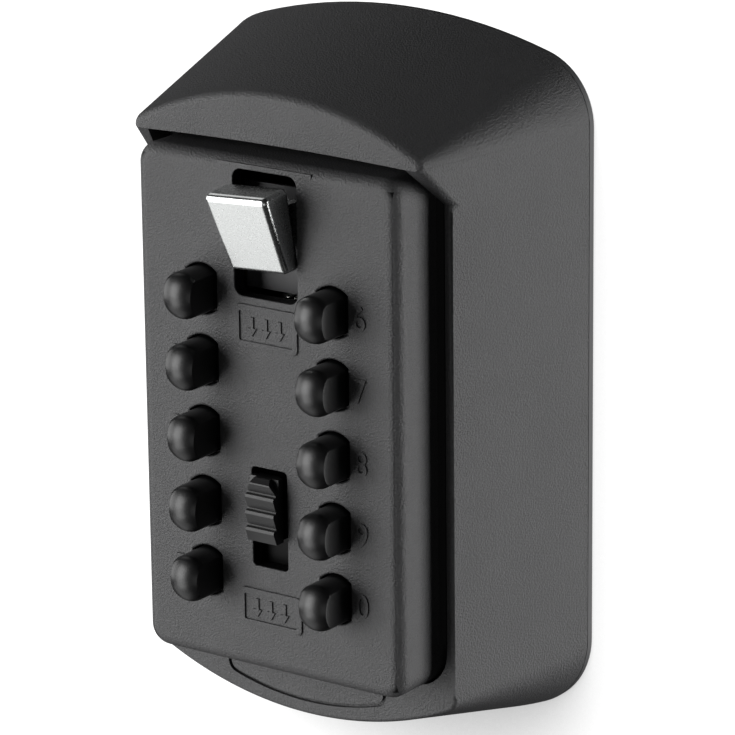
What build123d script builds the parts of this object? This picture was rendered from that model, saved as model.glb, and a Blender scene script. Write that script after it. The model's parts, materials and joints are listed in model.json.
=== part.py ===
# Wall-mounted keypad key box: a flared die-cast housing with a hood, closed by a thick
# push-button door that tilts forward on its lower hooks. Millimetres, +Z up, front towards -Y.
# The origin is on the wall, in the middle of the four wall screws.
import os
from math import atan2, cos, pi, sin, sqrt
from build123d import *

# housing, seen from the front and measured at two planes: the hood's face and the back
body_depth = 37.2
hood_reach = 8.1
hood_half_width = 34.9
hood_top = 66.2
hood_bottom = 64.0
hood_top_radius = 71.8
hood_bottom_radius = 80.9
hood_corner_radius = 2.4
back_half_width = 45.7
back_top = 75.9
back_bottom = 74.6
back_top_radius = 120.2
back_bottom_radius = 88.6
back_top_corner = 15.0
back_bottom_corner = 17.0
rim_corner_radius = 3.0
housing_wall = 3.0
back_wall = 3.5
hood_side_top = 55.4
hood_side_bottom = 47.3
gasket_thickness = 1.5

# opening in the housing front; between the hood's face and the rim it widens by the lean
side_gap = 2.9
bottom_gap = 0.3
opening_side_height = 55.4
opening_arch_rise = 0.6
hood_opening_lean = 3.65
opening_corner_radius = 8.0

# thumb panel outlined by a groove on the lower lip
panel_half_width = 19.9
panel_bottom = 63.3
panel_radius = 61.0
panel_corner = 2.5
groove_width = 0.8
groove_depth = 0.8

# wall fixings
fixing_spacing_x = 45.0
fixing_spacing_z = 80.0
fixing_hole_radius = 2.75
fixing_pad_radius = 6.5
fixing_pad_height = 1.0

# door
door_width = 64.0
door_height = 107.1
door_centre_z = 0.1
door_proud = 11.6
door_front_wall = 3.0
door_side_wall = 2.5
door_corner_radius = 4.5
door_edge_radius = 2.7
hole_edge_radius = 0.5
slot_edge_radius = 0.2
pocket_corner_radius = 2.0
pad_half_width = 11.4
pad_rise = 1.5
hook_width = 10.0
hook_spacing = 34.0
hook_thickness = 3.0
hook_drop = 4.0
hook_clearance = 0.35
seal_thickness = 1.5
seal_side_thickness = 1.8
seal_width = 3.0
seal_setback = 1.4

# push buttons in two columns of five
column_spacing = 32.0
row_pitch = 14.9
rows_centre_z = -4.5
row_count = 5
button_hole_radius = 5.3
button_hole_half_flat = 3.65
button_radius = 4.89
button_half_flat = 3.35
button_straight = 5.75
button_dome = 3.3
button_shoulder = 2.3
button_edge = 0.5
button_travel = 3.0
flange_radius = 6.3
flange_thickness = 1.5
stop_gap = 0.3
spigot_radius = 1.4
stem_radius = 2.0
spigot_depth = 8.2
running_clearance = 0.05
stem_behind_plate = 1.5
stem_slot_width = 0.8
stem_slot_depth = 1.0
gate_depth = 1.1

# lock plates, stacked behind the buttons
spring_room = 5.6
plate_thickness = 1.5
plate_gap = 0.4
plate_side_gap = 1.0
plate_half_height = 44.0
slide_side_gap = 1.5
slide_clearance = 0.3
post_radius = 1.9
post_upper_z = 8.0
post_lower_z = -40.0
pillar_end_inset = 4.0
pillar_radius = 3.0
screw_radius = 1.2
screw_head_radius = 2.1
screw_head_height = 1.3
screw_bite = 5.0
cover_thickness = 1.6
cover_screw_x = 26.2
cover_screw_z = 48.2
cover_boss_radius = 2.5
cover_inset = 0.5

# open lever
lever_slot_width = 15.5
lever_slot_height = 26.0
lever_slot_z = 38.35
lever_slot_corner = 2.0
lever_travel = 6.0
lever_top_z = 48.4
lever_bottom_z = 31.9
lever_top_half_width = 7.6
lever_bottom_half_width = 7.0
lever_top_reach = 9.6
lever_bottom_reach = 3.0
lever_back_gap = 1.6
lever_bottom_inset = 1.9
lever_top_slope = 0.8
lever_edge = 1.2
lever_lean = 3.5
neck_half_width = 4.3
neck_z = 40.5
neck_height = 9.0
shutter_depth = 6.0
shutter_thickness = 0.8
shutter_half_width = 9.0
shutter_bottom_z = 25.6
shutter_top_z = 47.5
carriage_half_width = 5.0
carriage_z = 36.0
carriage_height = 8.0

# clear slider
clear_slot_width = 8.7
clear_slot_height = 21.0
clear_slot_z = -20.4
clear_slot_corner = 0.9
clear_travel = 5.0
slider_width = 7.0
slider_height = 13.5
slider_z = -17.85
slider_reach = 3.6
slider_top_reach = 3.4
slider_top_round = 0.9
rib_count = 4
rib_pitch = 3.48
rib_first_z = -11.15
rib_depth = 0.9
rib_scoop = 2.7
rib_crest = 0.3
slider_bottom_reach = 2.6
slider_top_corner = 1.6
slider_gap = 0.2
slider_neck_half_width = 2.6
leg_half_width = 2.0
leg_height = 7.0
leg_z = -17.5
cap_plate_half_width = 6.0
cap_plate_thickness = 0.8
cap_plate_top_z = -4.4
cap_plate_bottom_z = -31.6

# spring bolt at the top of the door
bolt_half_width = 5.0
bolt_thickness = 3.0
bolt_length = 22.0
bolt_throw = 5.5
bolt_setback = 0.5
bolt_nose = 1.0
guide_wall = 1.6
guide_skin = 0.9
guide_length = 11.0
guide_below_top = 3.5
drive_pin_radius = 1.2
drive_pin_z = 42.0
bolt_spring_length = 5.5
strike_half_width = 10.0
strike_thickness = 3.0
strike_clearance = 0.4
strike_screw_spacing = 15.0

# springs
button_spring_radius = 2.85
button_spring_wire = 0.22
button_spring_turns = 4
slide_spring_radius = 1.25
slide_spring_wire = 0.2
slide_spring_turns = 7
bolt_spring_turns = 4
spring_end_gap = 0.05
spring_tab_thickness = 1.4
spring_tab_half_width = 2.4
lever_spring_length = 13.0
clear_spring_length = 12.0

# how far a cut runs past the solid it opens, and a joined block runs into its neighbour
overrun = 1.0

# planes worked out from the sizes above
housing_back_y = -gasket_thickness
rim_y = -body_depth
hood_y = rim_y - hood_reach
door_face_y = rim_y - door_proud
door_bottom_z = door_centre_z - door_height / 2
door_top_z = door_centre_z + door_height / 2
opening_half_width = door_width / 2 + side_gap
screw_hole_radius = screw_radius + running_clearance
opening_bottom_z = door_bottom_z - bottom_gap
lip_back_y = rim_y + housing_wall
guide_plate_d = door_front_wall + stop_gap + flange_thickness + spring_room
locking_slide_d = guide_plate_d + plate_thickness + plate_gap
clear_plate_d = locking_slide_d + plate_thickness + plate_gap
back_plate_d = clear_plate_d + plate_thickness + plate_gap
back_plate_rear_d = back_plate_d + plate_thickness
stem_end_d = back_plate_rear_d + stem_behind_plate
door_depth = stem_end_d + button_travel + stop_gap
strike_height = bolt_throw
plate_half_width = door_width / 2 - door_side_wall - plate_side_gap
pillar_x = plate_half_width - pillar_radius
pillar_z = plate_half_height - pillar_end_inset
slide_half_width = pillar_x - pillar_radius - slide_side_gap
top_row_z = rows_centre_z + row_pitch * (row_count - 1) / 2
button_rows = [top_row_z - row_pitch * i for i in range(row_count)]
button_places = [(side * column_spacing / 2, z) for side in (-1, 1) for z in button_rows]
button_names = ["1", "2", "3", "4", "5", "6", "7", "8", "9", "0"]


def block(x0, x1, y0, y1, z0, z1):
    size = (x1 - x0, y1 - y0, z1 - z0)
    return Pos((x0 + x1) / 2, (y0 + y1) / 2, (z0 + z1) / 2) * Box(*size)


# a block placed by its depth behind the door's face
def door_block(half_width, d0, d1, z0, z1, x=0.0):
    return block(x - half_width, x + half_width, door_face_y + d0, door_face_y + d1, z0, z1)


# a round bar along Y between two planes
def bar(radius, x, z, y0, y1):
    return Pos(x, (y0 + y1) / 2, z) * Rot(90, 0, 0) * Cylinder(radius, abs(y1 - y0))


def door_bar(radius, x, z, d0, d1):
    return bar(radius, x, z, door_face_y + d0, door_face_y + d1)


# a sketch drawn in X and Z, pushed back from plane y0 to plane y1
def push(sketch, y0, y1):
    return extrude(Plane(origin=(0, y0, 0), x_dir=(1, 0, 0), z_dir=(0, -1, 0)) * sketch, amount=-(y1 - y0))


def slot_prism(width, height, corner, x, z, d0, d1):
    return push(Pos(x, z) * RectangleRounded(width, height, corner), door_face_y + d0, door_face_y + d1)


# corner circle that touches the side line and an arch of the given radius
def corner_points(half_width, apex, radius, corner):
    centre_x = half_width - corner
    arch_z = apex - radius
    centre_z = arch_z + sqrt((radius - corner) ** 2 - centre_x ** 2)
    angle = atan2(centre_z - arch_z, centre_x)
    on_arch = (radius * cos(angle), arch_z + radius * sin(angle))
    middle = (centre_x + corner * cos(angle / 2), centre_z + corner * sin(angle / 2))
    return centre_z, middle, on_arch


# closed face at plane y with straight sides, arched ends and round corners
def arched_face(y, half_width, top, bottom, radii, corners):
    top_z, top_mid, top_end = corner_points(half_width, top, radii[0], corners[0])
    low_z, low_mid, low_end = corner_points(half_width, bottom, radii[1], corners[1])

    def at(x, z):
        return Vector(x, y, z)

    edges = [
        ThreePointArc(at(half_width, top_z), at(*top_mid), at(*top_end)),
        ThreePointArc(at(*top_end), at(0, top), at(-top_end[0], top_end[1])),
        ThreePointArc(at(-top_end[0], top_end[1]), at(-top_mid[0], top_mid[1]), at(-half_width, top_z)),
        Line(at(-half_width, top_z), at(-half_width, -low_z)),
        ThreePointArc(at(-half_width, -low_z), at(-low_mid[0], -low_mid[1]), at(-low_end[0], -low_end[1])),
        ThreePointArc(at(-low_end[0], -low_end[1]), at(0, -bottom), at(low_end[0], -low_end[1])),
        ThreePointArc(at(low_end[0], -low_end[1]), at(low_mid[0], -low_mid[1]), at(half_width, -low_z)),
        Line(at(half_width, -low_z), at(half_width, top_z)),
    ]
    return Face(Wire(edges))


# housing outline at plane y, drawn in from the outside by inset
def housing_outline(y, inset=0.0):
    share = (y - hood_y) / (housing_back_y - hood_y)
    rim_share = (rim_y - hood_y) / (housing_back_y - hood_y)

    def mix(front, back):
        return front + (back - front) * share

    def corner(back):
        if share <= rim_share:
            grown = hood_corner_radius + (rim_corner_radius - hood_corner_radius) * share / rim_share
        else:
            grown = rim_corner_radius + (back - rim_corner_radius) * (share - rim_share) / (1 - rim_share)
        return max(grown - inset, hood_corner_radius)

    return arched_face(
        y,
        mix(hood_half_width, back_half_width) - inset,
        mix(hood_top, back_top) - inset,
        mix(hood_bottom, back_bottom) - inset,
        (mix(hood_top_radius, back_top_radius) - inset, mix(hood_bottom_radius, back_bottom_radius) - inset),
        (corner(back_top_corner), corner(back_bottom_corner)),
    )


def fixing_places():
    return [(sx * fixing_spacing_x / 2, sz * fixing_spacing_z / 2) for sx in (-1, 1) for sz in (-1, 1)]


# the opening's outline at plane y
def opening_outline(y, side):
    def at(x, z):
        return Vector(x, y, z)

    corner = opening_corner_radius
    bulge = corner * (1 - sqrt(0.5))
    low = opening_bottom_z + corner
    return Face(Wire([
        Line(at(corner - side, opening_bottom_z), at(side - corner, opening_bottom_z)),
        ThreePointArc(at(side - corner, opening_bottom_z), at(side - bulge, opening_bottom_z + bulge),
                      at(side, low)),
        Line(at(side, low), at(side, opening_side_height)),
        ThreePointArc(at(side, opening_side_height), at(0, opening_side_height + opening_arch_rise),
                      at(-side, opening_side_height)),
        Line(at(-side, opening_side_height), at(-side, low)),
        ThreePointArc(at(-side, low), at(bulge - side, opening_bottom_z + bulge),
                      at(corner - side, opening_bottom_z)),
    ]))


def opening_cut():
    rim_outline = opening_outline(rim_y, opening_half_width)
    far_outline = opening_outline(hood_y - hood_reach, opening_half_width - 2 * hood_opening_lean)
    through_lip = extrude(rim_outline, amount=2 * housing_wall, dir=(0, 1, 0))
    return loft([far_outline, rim_outline], ruled=True) + through_lip


# area of the thumb panel on the lip, drawn in by inset
def panel_area(inset):
    half = panel_half_width - inset
    apex = panel_bottom - inset
    side_z, middle, on_arch = corner_points(half, apex, panel_radius - inset, panel_corner - inset)
    return make_face([
        Line((-half, door_centre_z), (half, door_centre_z)),
        Line((half, door_centre_z), (half, -side_z)),
        ThreePointArc((half, -side_z), (middle[0], -middle[1]), (on_arch[0], -on_arch[1])),
        ThreePointArc((on_arch[0], -on_arch[1]), (0, -apex), (-on_arch[0], -on_arch[1])),
        ThreePointArc((-on_arch[0], -on_arch[1]), (-middle[0], -middle[1]), (-half, -side_z)),
        Line((-half, -side_z), (-half, door_centre_z)),
    ])


def strike_screw_places():
    z = opening_side_height + opening_arch_rise + strike_height / 2
    return [(-strike_screw_spacing / 2, z), (strike_screw_spacing / 2, z)]


def make_housing():
    outer = loft([housing_outline(y) for y in (hood_y, rim_y, housing_back_y)], ruled=True)
    slope = (hood_side_top - hood_side_bottom) / hood_reach
    far = 2 * back_top
    front_cut = Polyline(
        (hood_y - hood_reach, -far), (rim_y, -far), (rim_y, hood_side_bottom),
        (hood_y, hood_side_top), (hood_y - hood_reach, hood_side_top + slope * hood_reach),
        (hood_y - hood_reach, -far))
    plane = Plane(origin=(-far, 0, 0), x_dir=(0, 1, 0), z_dir=(1, 0, 0))
    outer -= extrude(plane * make_face(front_cut), amount=2 * far)
    inner_back_y = housing_back_y - back_wall
    outer -= loft([housing_outline(y, housing_wall) for y in (lip_back_y, inner_back_y)], ruled=True)
    outer -= opening_cut()
    outer -= push(panel_area(0) - panel_area(groove_width), rim_y - groove_depth, rim_y + groove_depth)
    for x, z in fixing_places():
        outer += bar(fixing_pad_radius, x, z, inner_back_y - fixing_pad_height, inner_back_y + back_wall / 2)
        outer -= bar(fixing_hole_radius, x, z, inner_back_y - back_wall, housing_back_y + back_wall)
    for x, z in strike_screw_places():
        outer -= bar(screw_hole_radius, x, z, lip_back_y - screw_bite - stop_gap, lip_back_y + overrun)
    return outer


def make_wall_gasket():
    pad = extrude(housing_outline(housing_back_y), amount=gasket_thickness, dir=(0, 1, 0))
    for x, z in fixing_places():
        pad -= bar(fixing_hole_radius, x, z, housing_back_y - overrun, overrun)
    return pad


def strike_bottom_z():
    return opening_side_height + opening_arch_rise


def make_strike_plate():
    low = strike_bottom_z()
    plate = block(-strike_half_width, strike_half_width, lip_back_y, lip_back_y + strike_thickness,
                  low, low + strike_height)
    plate = chamfer(plate.edges().filter_by(Axis.X).group_by(Axis.Z)[0].sort_by(Axis.Y)[-1], bolt_nose)
    for x, z in strike_screw_places():
        plate -= bar(screw_hole_radius, x, z, lip_back_y - overrun, lip_back_y + strike_thickness + overrun)
    return plate


# pan-head screw along Y: head seated on seat_y, shank towards the front
def screw(x, z, seat_y, shank_length):
    head = bar(screw_head_radius, x, z, seat_y, seat_y + screw_head_height)
    shank = bar(screw_radius, x, z, seat_y - shank_length, seat_y)
    recess = block(x - screw_radius, x + screw_radius, seat_y + screw_head_height / 2,
                   seat_y + 2 * screw_head_height, z - screw_radius / 4, z + screw_radius / 4)
    return head + shank - recess - Pos(x, 0, z) * Rot(0, 90, 0) * Pos(-x, 0, -z) * recess


def make_strike_screws():
    seat = lip_back_y + strike_thickness
    shank = strike_thickness + screw_bite
    return Compound(children=[screw(x, z, seat, shank) for x, z in strike_screw_places()])


def corner_places(x, z):
    return [(-x, -z), (-x, z), (x, -z), (x, z)]


def bolt_front_d():
    return door_proud + housing_wall + strike_thickness + strike_clearance


def bolt_top_z():
    return door_top_z - bolt_setback


def make_door_shell():
    shell = door_block(door_width / 2, 0, door_depth, door_bottom_z, door_top_z)
    shell = fillet(shell.edges().filter_by(Axis.Y), door_corner_radius)
    shell = fillet(shell.faces().sort_by(Axis.Y)[0].edges(), door_edge_radius)
    pad_top = door_top_z - door_edge_radius + pad_rise
    shell += door_block(pad_half_width, 0, door_front_wall, pad_top - door_front_wall - pad_rise, pad_top)
    inside_width = door_width - 2 * door_side_wall
    inside_height = door_height - 2 * door_side_wall
    shell -= slot_prism(inside_width, inside_height, pocket_corner_radius, 0, door_centre_z,
                        door_front_wall, door_depth + overrun)
    for x, z in corner_places(pillar_x, pillar_z):
        shell += door_bar(pillar_radius, x, z, door_front_wall / 2, guide_plate_d)
        shell -= door_bar(screw_hole_radius, x, z, pillar_screw_end_d(), guide_plate_d + overrun)
    for x, z in cover_screw_places():
        shell += cover_boss(x, z)
        shell -= door_bar(screw_hole_radius, x, z, door_depth - screw_bite - stop_gap, door_depth + overrun)
    for x, z in button_places:
        hole = Circle(button_hole_radius) & Rectangle(2 * button_hole_half_flat, 2 * button_hole_radius)
        shell -= push(Pos(x, z) * hole, door_face_y - overrun, door_face_y + door_front_wall + overrun)
    shell -= slot_prism(lever_slot_width, lever_slot_height, lever_slot_corner, 0, lever_slot_z,
                        -overrun, door_front_wall + overrun)
    shell -= slot_prism(clear_slot_width, clear_slot_height, clear_slot_corner, 0, clear_slot_z,
                        -overrun, door_front_wall + overrun)
    shell = round_holes(shell, -pocket_corner_radius, pocket_corner_radius, slot_edge_radius)
    shell = round_holes(shell, -door_width, -pocket_corner_radius, hole_edge_radius)
    shell = round_holes(shell, pocket_corner_radius, door_width, hole_edge_radius)
    shell -= door_block(bolt_half_width + slide_clearance, bolt_front_d() - slide_clearance,
                        bolt_front_d() + bolt_thickness + slide_clearance,
                        door_top_z - 2 * door_side_wall, door_top_z + overrun)
    hook_d = door_proud + housing_wall + hook_clearance
    for x in (-hook_spacing / 2, hook_spacing / 2):
        hook = door_block(hook_width / 2, hook_d, hook_d + hook_thickness,
                          door_bottom_z - hook_drop, door_bottom_z + door_side_wall / 2, x)
        shell += fillet(hook.edges().filter_by(Axis.X).group_by(Axis.Z)[0], hook_thickness / 3)
    return shell


# rounds the front edges of the holes whose middle lies between x0 and x1
def round_holes(shell, x0, x1, radius):
    wires = shell.faces().sort_by(Axis.Y)[0].inner_wires()
    chosen = [wire for wire in wires if x0 < wire.bounding_box().center().X < x1]
    return fillet([edge for wire in chosen for edge in wire.edges()], radius)


# the screw boss in a corner of the door, joined to both walls
def cover_boss(x, z):
    side = 1 if x > 0 else -1
    end = 1 if z > 0 else -1
    wall_x = side * (door_width / 2 - door_side_wall / 2)
    wall_z = door_centre_z + end * (door_height / 2 - door_side_wall / 2)
    d0 = door_front_wall / 2
    boss = door_bar(cover_boss_radius, x, z, d0, door_depth)
    y0 = door_face_y + d0
    y1 = door_face_y + door_depth
    boss += block(min(x, wall_x), max(x, wall_x), y0, y1, z - cover_boss_radius, z + cover_boss_radius)
    boss += block(x - cover_boss_radius, x + cover_boss_radius, y0, y1, min(z, wall_z), max(z, wall_z))
    return boss


def cover_screw_places():
    return [(x, door_centre_z + z) for x, z in corner_places(cover_screw_x, cover_screw_z)]


def pillar_screw_end_d():
    return guide_plate_d - screw_bite - stop_gap


# rubber strip round the top and the sides of the door, behind the rim
def make_door_seal():
    d0 = door_proud + seal_setback
    y0 = door_face_y + d0
    band = slot_prism(door_width + 2 * seal_side_thickness, door_height + 2 * seal_thickness,
                      door_corner_radius + seal_thickness, 0, door_centre_z, d0, d0 + seal_width)
    band -= slot_prism(door_width, door_height, door_corner_radius, 0, door_centre_z,
                       d0 - overrun, d0 + seal_width + overrun)
    wide = door_width
    return band - block(-wide, wide, y0 - overrun, y0 + seal_width + overrun, door_bottom_z - wide,
                        door_bottom_z + 2 * door_corner_radius)


# perforated plate between depths d and d + plate_thickness
def plate(d, half_width, z0, z1):
    return door_block(half_width, d, d + plate_thickness, z0, z1)


def stem_holes(d):
    radius = stem_radius + running_clearance
    return [door_bar(radius, x, z, d - overrun, d + plate_thickness + overrun) for x, z in button_places]


# upright slot that lets a pin of the given radius pass while the plate moves down by travel
def travel_slot(radius, x, z, travel, d):
    half = radius + slide_clearance
    return door_block(half, d - overrun, d + plate_thickness + overrun, z - half, z + half + travel, x)


def make_guide_plate():
    sheet = plate(guide_plate_d, plate_half_width, -plate_half_height, plate_half_height)
    sheet -= stem_holes(guide_plate_d)
    d0 = guide_plate_d - overrun
    d1 = guide_plate_d + plate_thickness + overrun
    for x, z in corner_places(pillar_x, pillar_z):
        sheet -= door_bar(screw_hole_radius, x, z, d0, d1)
    for z in (post_upper_z, post_lower_z):
        sheet -= door_bar(post_radius / 2 + running_clearance, 0, z, d0, d1)
    half = carriage_height / 2 + slide_clearance
    sheet -= door_block(carriage_half_width + slide_clearance, d0, d1,
                        carriage_z - half - lever_travel, carriage_z + half)
    half = leg_height / 2 + slide_clearance
    sheet -= door_block(leg_half_width + slide_clearance, d0, d1, leg_z - half - clear_travel, leg_z + half)
    for low_z, centre_d in ((lever_tab_z(), lever_spring_d()), (clear_tab_z(), clear_spring_d())):
        sheet += door_block(spring_tab_half_width, centre_d - slide_spring_radius - slide_spring_wire,
                            guide_plate_d + plate_thickness / 2, low_z - spring_tab_thickness, low_z)
    return sheet


def lever_spring_d():
    return (shutter_depth + shutter_thickness + guide_plate_d) / 2


def clear_spring_d():
    return (door_front_wall + stop_gap + cap_plate_thickness + guide_plate_d) / 2


def carriage_bottom_z():
    return carriage_z - carriage_height / 2


def leg_bottom_z():
    return leg_z - leg_height / 2


def lever_tab_z():
    return carriage_bottom_z() - lever_spring_length


def clear_tab_z():
    return leg_bottom_z() - clear_spring_length


# guide posts: a thin end riveted in the guide plate, a full part between the plates
def make_guide_posts():
    posts = []
    for z in (post_upper_z, post_lower_z):
        post = door_bar(post_radius / 2, 0, z, guide_plate_d, back_plate_rear_d)
        post += door_bar(post_radius, 0, z, guide_plate_d + plate_thickness, back_plate_d)
        posts.append(post)
    return Compound(children=posts)


def make_spacers():
    tubes = []
    for x, z in corner_places(pillar_x, pillar_z):
        tube = door_bar(pillar_radius, x, z, guide_plate_d + plate_thickness, back_plate_d)
        tube -= door_bar(screw_hole_radius, x, z, guide_plate_d, back_plate_rear_d)
        tubes.append(tube)
    return Compound(children=tubes)


def make_plate_screws():
    shank = back_plate_rear_d - guide_plate_d + screw_bite
    seat = door_face_y + back_plate_rear_d
    return Compound(children=[screw(x, z, seat, shank) for x, z in corner_places(pillar_x, pillar_z)])


def make_cover_screws():
    shank = cover_thickness + screw_bite
    seat = door_face_y + door_depth + cover_thickness
    return Compound(children=[screw(x, z, seat, shank) for x, z in cover_screw_places()])


# code slide, moved by the lever, with a slot for each code stem
def make_code_slide():
    d = locking_slide_d
    top = carriage_z + carriage_height
    low = post_lower_z - post_radius - 2 * slide_clearance
    sheet = plate(d, slide_half_width, low, top)
    for x, z in button_places:
        sheet -= travel_slot(stem_radius, x, z, lever_travel, d)
    sheet -= travel_slot(post_radius, 0, post_upper_z, lever_travel, d)
    half = post_radius + slide_clearance
    sheet -= door_block(half, d - overrun, d + plate_thickness + overrun,
                        low - overrun, post_lower_z + half + lever_travel)
    half = leg_height / 2 + slide_clearance
    sheet -= door_block(leg_half_width + slide_clearance, d - overrun, d + plate_thickness + overrun,
                        leg_z - half - clear_travel, leg_z + half + lever_travel)
    return sheet - door_bar(drive_pin_radius, 0, drive_pin_z, d - overrun, d + plate_thickness + overrun)


def make_drive_pin():
    end = bolt_front_d() + bolt_thickness - stop_gap
    return door_bar(drive_pin_radius, 0, drive_pin_z, locking_slide_d, end)


# clearing slide, moved by the clear slider
def make_clear_slide():
    d = clear_plate_d
    low = post_lower_z - post_radius - 2 * slide_clearance
    sheet = plate(d, slide_half_width, low, button_rows[0] + 2 * stem_radius + clear_travel)
    for x, z in button_places:
        sheet -= travel_slot(stem_radius, x, z, clear_travel, d)
    sheet -= travel_slot(post_radius, 0, post_upper_z, clear_travel, d)
    half = post_radius + slide_clearance
    return sheet - door_block(half, d - overrun, d + plate_thickness + overrun,
                              low - overrun, post_lower_z + half + clear_travel)


def make_back_plate():
    d = back_plate_d
    sheet = plate(d, plate_half_width, -plate_half_height, plate_half_height)
    sheet += plate(d, guide_half_width(), plate_half_height - overrun, bolt_top_z() - guide_below_top)
    sheet -= stem_holes(d)
    for x, z in corner_places(pillar_x, pillar_z):
        sheet -= door_bar(screw_hole_radius, x, z, d - overrun, d + plate_thickness + overrun)
    for z in (post_upper_z, post_lower_z):
        sheet -= door_bar(post_radius / 2 + running_clearance, 0, z,
                          d - overrun, d + plate_thickness + overrun)
    half = drive_pin_radius + slide_clearance
    sheet -= door_block(half, d - overrun, d + plate_thickness + overrun,
                        drive_pin_z - half - lever_travel, drive_pin_z + half)
    tab_top = bolt_bottom_z() - bolt_spring_length
    return sheet + door_block(spring_tab_half_width, d + plate_thickness / 2,
                              bolt_front_d() + bolt_thickness, tab_top - spring_tab_thickness, tab_top)


def guide_half_width():
    return bolt_half_width + running_clearance + guide_wall


def bolt_bottom_z():
    return bolt_top_z() - bolt_length


# channel on the back plate that carries the bolt
def make_bolt_guide():
    top = bolt_top_z() - guide_below_top
    d1 = bolt_front_d() + bolt_thickness + running_clearance
    guide = door_block(guide_half_width(), back_plate_rear_d, d1 + guide_skin, top - guide_length, top)
    return guide - door_block(bolt_half_width + running_clearance, back_plate_rear_d - overrun, d1,
                              top - guide_length - overrun, top + overrun)


def make_latch_bolt():
    d0 = bolt_front_d()
    bolt = door_block(bolt_half_width, d0, d0 + bolt_thickness, bolt_bottom_z(), bolt_top_z())
    bolt = chamfer(bolt.edges().filter_by(Axis.X).group_by(Axis.Z)[-1].sort_by(Axis.Y)[0], bolt_nose)
    half = drive_pin_radius + slide_clearance
    return bolt - door_block(half, d0 - overrun, d0 + bolt_thickness + overrun,
                             drive_pin_z - half - lever_travel, drive_pin_z + half)


def make_back_cover():
    width = door_width - 2 * cover_inset
    height = door_height - 2 * cover_inset
    rear_d = door_depth + cover_thickness
    cover = slot_prism(width, height, door_corner_radius, 0, door_centre_z, door_depth, rear_d)
    for x, z in cover_screw_places():
        cover -= door_bar(screw_hole_radius, x, z, door_depth - overrun, rear_d + overrun)
    return cover


# head with two flats and a domed front, a retaining flange and a bore for the code stem
def make_button(x, z):
    flange_d = door_front_wall + stop_gap
    reach = button_straight + button_dome
    across = button_radius - button_shoulder
    cap = button_dome - button_shoulder
    dome_radius = (across ** 2 + button_dome ** 2 - button_shoulder ** 2) / (2 * cap)
    turn = atan2(across, dome_radius - button_dome)
    joint = (dome_radius * sin(turn), reach - dome_radius + dome_radius * cos(turn))
    crown = (dome_radius * sin(turn / 2), reach - dome_radius + dome_radius * cos(turn / 2))
    half_turn = (pi / 2 - turn) / 2
    shoulder = (across + button_shoulder * cos(half_turn),
                button_straight + button_shoulder * sin(half_turn))
    half_section = make_face([
        Line((0, -flange_d), (button_radius, -flange_d)),
        Line((button_radius, -flange_d), (button_radius, button_straight)),
        ThreePointArc((button_radius, button_straight), shoulder, joint),
        ThreePointArc(joint, crown, (0, reach)),
        Line((0, reach), (0, -flange_d)),
    ])
    plane = Plane(origin=(x, door_face_y, z), x_dir=(1, 0, 0), z_dir=(0, 0, -1))
    head = revolve(plane * half_section, axis=Axis((x, door_face_y, z), (0, -1, 0)))
    for side in (-1, 1):
        flat_x = x + side * (button_half_flat + button_radius)
        head -= door_block(button_radius, -reach - overrun, flange_d + overrun,
                           z - button_radius - overrun, z + button_radius + overrun, flat_x)
    outer_edges = head.edges().filter_by(lambda e: e.center().Y < door_face_y - button_straight + overrun)
    head = fillet(outer_edges, button_edge)
    head += door_bar(flange_radius, x, z, flange_d, flange_d + flange_thickness)
    rear_d = flange_d + flange_thickness
    bore_d = rear_d - spigot_depth - stop_gap
    return head - door_bar(spigot_radius + running_clearance, x, z, bore_d, rear_d + overrun)


# stem with a spigot in the button, a gate notch for the code slide and a screwdriver slot
def make_code_stem(x, z):
    back_of_flange = door_front_wall + stop_gap + flange_thickness
    stem = door_bar(spigot_radius, x, z, back_of_flange - spigot_depth, back_of_flange + stop_gap)
    stem += door_bar(stem_radius, x, z, back_of_flange + stop_gap, stem_end_d)
    notch_z = z + stem_radius - gate_depth
    notch_d = locking_slide_d - plate_gap / 2
    stem -= door_block(2 * stem_radius, notch_d, notch_d + plate_thickness + plate_gap,
                       notch_z, notch_z + 2 * stem_radius, x)
    return stem - door_block(stem_slot_width / 2, stem_end_d - stem_slot_depth, stem_end_d + overrun,
                             z - 2 * stem_radius, z + 2 * stem_radius, x)


# open coil of round wire along Z, from 0 to length
def coil(radius, wire, length, turns):
    rise = length - 2 * (wire + spring_end_gap)
    path = Helix(pitch=rise / turns, height=rise, radius=radius)
    section = Plane(origin=path @ 0, z_dir=path % 0) * Circle(wire)
    return Pos(0, 0, wire + spring_end_gap) * sweep(section, path=path, is_frenet=True)


def make_button_spring(x, z):
    start = door_face_y + door_front_wall + stop_gap + flange_thickness
    spring = coil(button_spring_radius, button_spring_wire, spring_room, button_spring_turns)
    return Pos(x, start, z) * Rot(-90, 0, 0) * spring


def upright_spring(d, low_z, length, turns):
    return Pos(0, door_face_y + d, low_z) * coil(slide_spring_radius, slide_spring_wire, length, turns)


# a prism across X from a polygon of (depth behind the door's face, z) points
def side_prism(half_width, points):
    plane = Plane(origin=(-half_width, door_face_y, 0), x_dir=(0, 1, 0), z_dir=(1, 0, 0))
    return extrude(plane * make_face(Polyline(*points, close=True)), amount=2 * half_width)


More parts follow.
